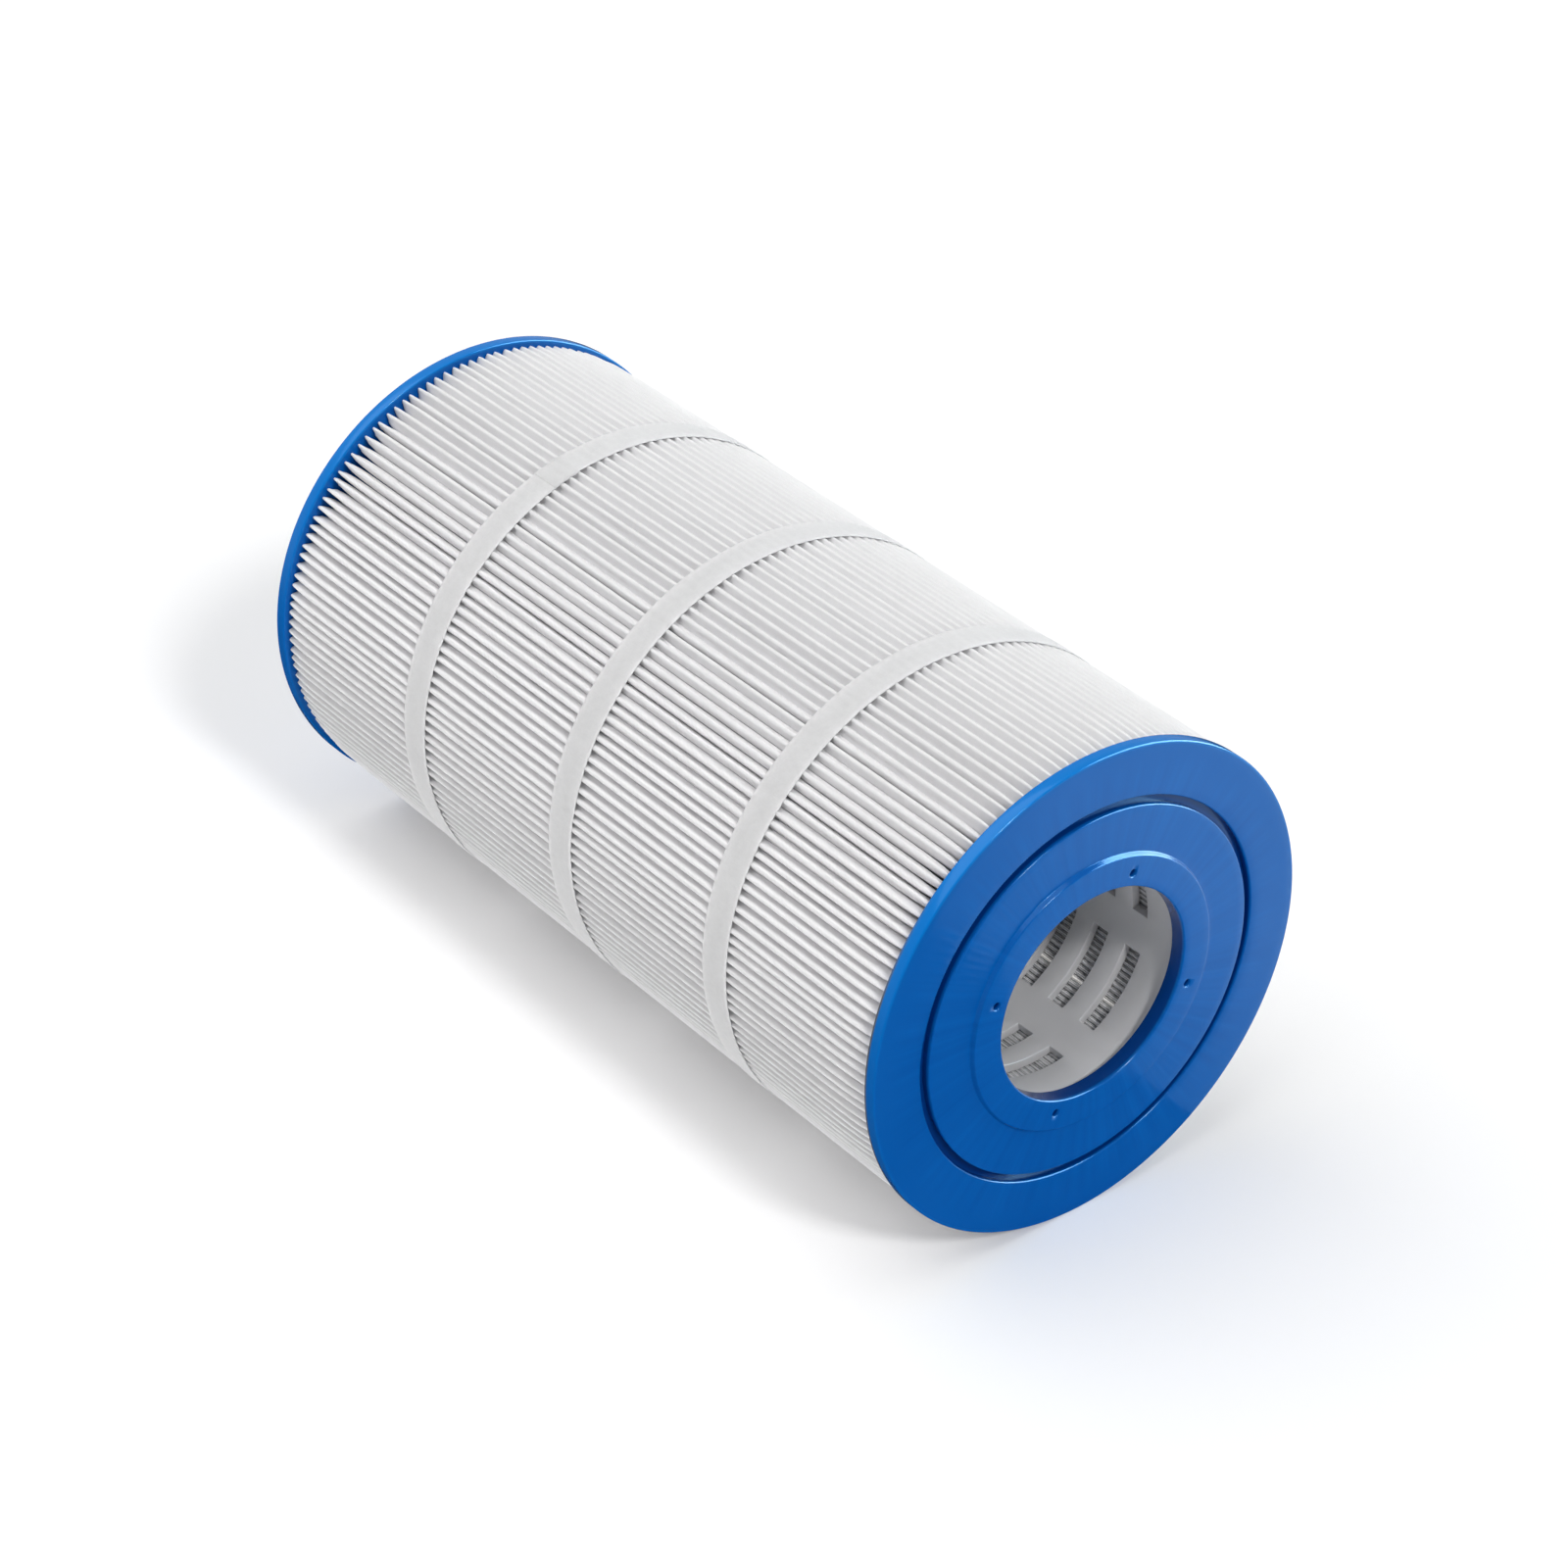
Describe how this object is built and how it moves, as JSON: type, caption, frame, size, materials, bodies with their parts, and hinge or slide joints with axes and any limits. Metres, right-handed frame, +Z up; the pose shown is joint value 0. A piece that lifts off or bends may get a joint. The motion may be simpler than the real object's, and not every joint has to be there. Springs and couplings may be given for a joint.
{
  "type": "filter cartridge",
  "caption": "Pleated polyester filter cartridge with cast polyurethane end caps, a raised sealing collar round an open bore, banded pleats and a slotted core tube.",
  "frame": {"origin": "on the cartridge's axis, half-way between the two end caps", "axes": "+X along the cartridge's axis, out of the front cap; +Z up with the cartridge lying on its side"},
  "size_m": [0.4434, 0.2266, 0.2266],
  "materials": {
    "cap_polyurethane": "semi-gloss cast polyurethane, mid blue",
    "media_polyester": "matte spun-bonded polyester, white",
    "band_nonwoven": "matte fibrous nonwoven tape, white",
    "core_plastic": "satin moulded plastic, white",
    "seam_hot_melt": "smooth hot-melt adhesive, off-white"
  },
  "bodies": {
    "root": {"end_cap_front": "cap_polyurethane", "end_cap_rear": "cap_polyurethane", "pleated_media": "media_polyester", "seam_strip": "seam_hot_melt", "band_front": "band_nonwoven", "band_middle": "band_nonwoven", "band_rear": "band_nonwoven", "core_section_1": "core_plastic", "core_section_2": "core_plastic", "core_section_3": "core_plastic", "core_section_4": "core_plastic"}
  },
  "joints": []
}
